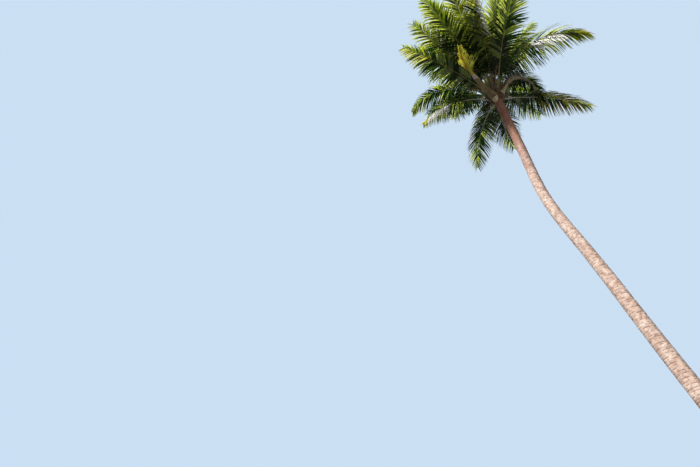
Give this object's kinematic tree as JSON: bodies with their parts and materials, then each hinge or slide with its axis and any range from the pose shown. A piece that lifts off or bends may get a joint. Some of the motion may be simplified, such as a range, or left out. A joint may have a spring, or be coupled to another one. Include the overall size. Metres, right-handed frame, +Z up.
{
  "type": "coconut palm tree",
  "caption": "Tall coconut palm with a slender, leaning, ring-scarred trunk, a slightly swollen foot and a full crown of arching feather fronds, one of them yellow.",
  "frame": {"origin": "middle of the flat cut under the trunk, at ground level", "axes": "+Z up; +Y away from the side the palm is seen from; +X to that side's right, so the trunk leans towards -X"},
  "size_m": [6.7053, 7.3272, 22.1518],
  "materials": {
    "bark": "matt pinkish grey bark with close ring scars, redder under the crown",
    "leaf_base_fibre": "matt brown leaf bases and woven fibre",
    "green_leaf": "glossy leaflets, deep green to yellow green, with paler ribs",
    "yellow_leaf": "dying leaflets, yellow to orange, on a yellow green stalk",
    "young_leaf": "pale green folded leaf, slightly glossy",
    "dry_stalk": "matt tan old flower stalks"
  },
  "bodies": {
    "root": {"trunk": "bark", "crown_heart": "leaf_base_fibre", "spear_leaf": "young_leaf", "flower_stalk_near": "dry_stalk", "flower_stalk_right": "dry_stalk", "flower_stalk_near_right": "dry_stalk", "flower_stalk_left": "dry_stalk", "flower_stalk_far": "dry_stalk", "frond_yellow_near": "yellow_leaf", "frond_far_left": "green_leaf", "frond_far_right": "green_leaf", "frond_far_mid": "green_leaf", "frond_right_low": "green_leaf", "frond_right_hook": "green_leaf", "frond_right_hook_tip": "green_leaf", "frond_far_right_mid": "green_leaf", "frond_left_low": "green_leaf", "frond_left_low_tip": "green_leaf", "frond_left_hook": "green_leaf", "frond_left_hook_tip": "green_leaf", "frond_left_mid": "green_leaf", "frond_left_up": "green_leaf", "frond_near_left": "green_leaf", "frond_near_left_up": "green_leaf", "frond_near": "green_leaf", "frond_near_right": "green_leaf", "frond_near_right_high": "green_leaf", "frond_right_back": "green_leaf", "frond_right_up": "green_leaf", "frond_right_up_tip": "green_leaf", "frond_far_right_up": "green_leaf", "frond_far_up": "green_leaf", "frond_far_left_up": "green_leaf", "frond_left_back": "green_leaf", "frond_left_high": "green_leaf", "frond_near_up": "green_leaf", "frond_near_right_up": "green_leaf", "frond_right_high": "green_leaf", "frond_far_high": "green_leaf", "frond_left_top": "green_leaf", "frond_near_top": "green_leaf"}
  },
  "joints": []
}
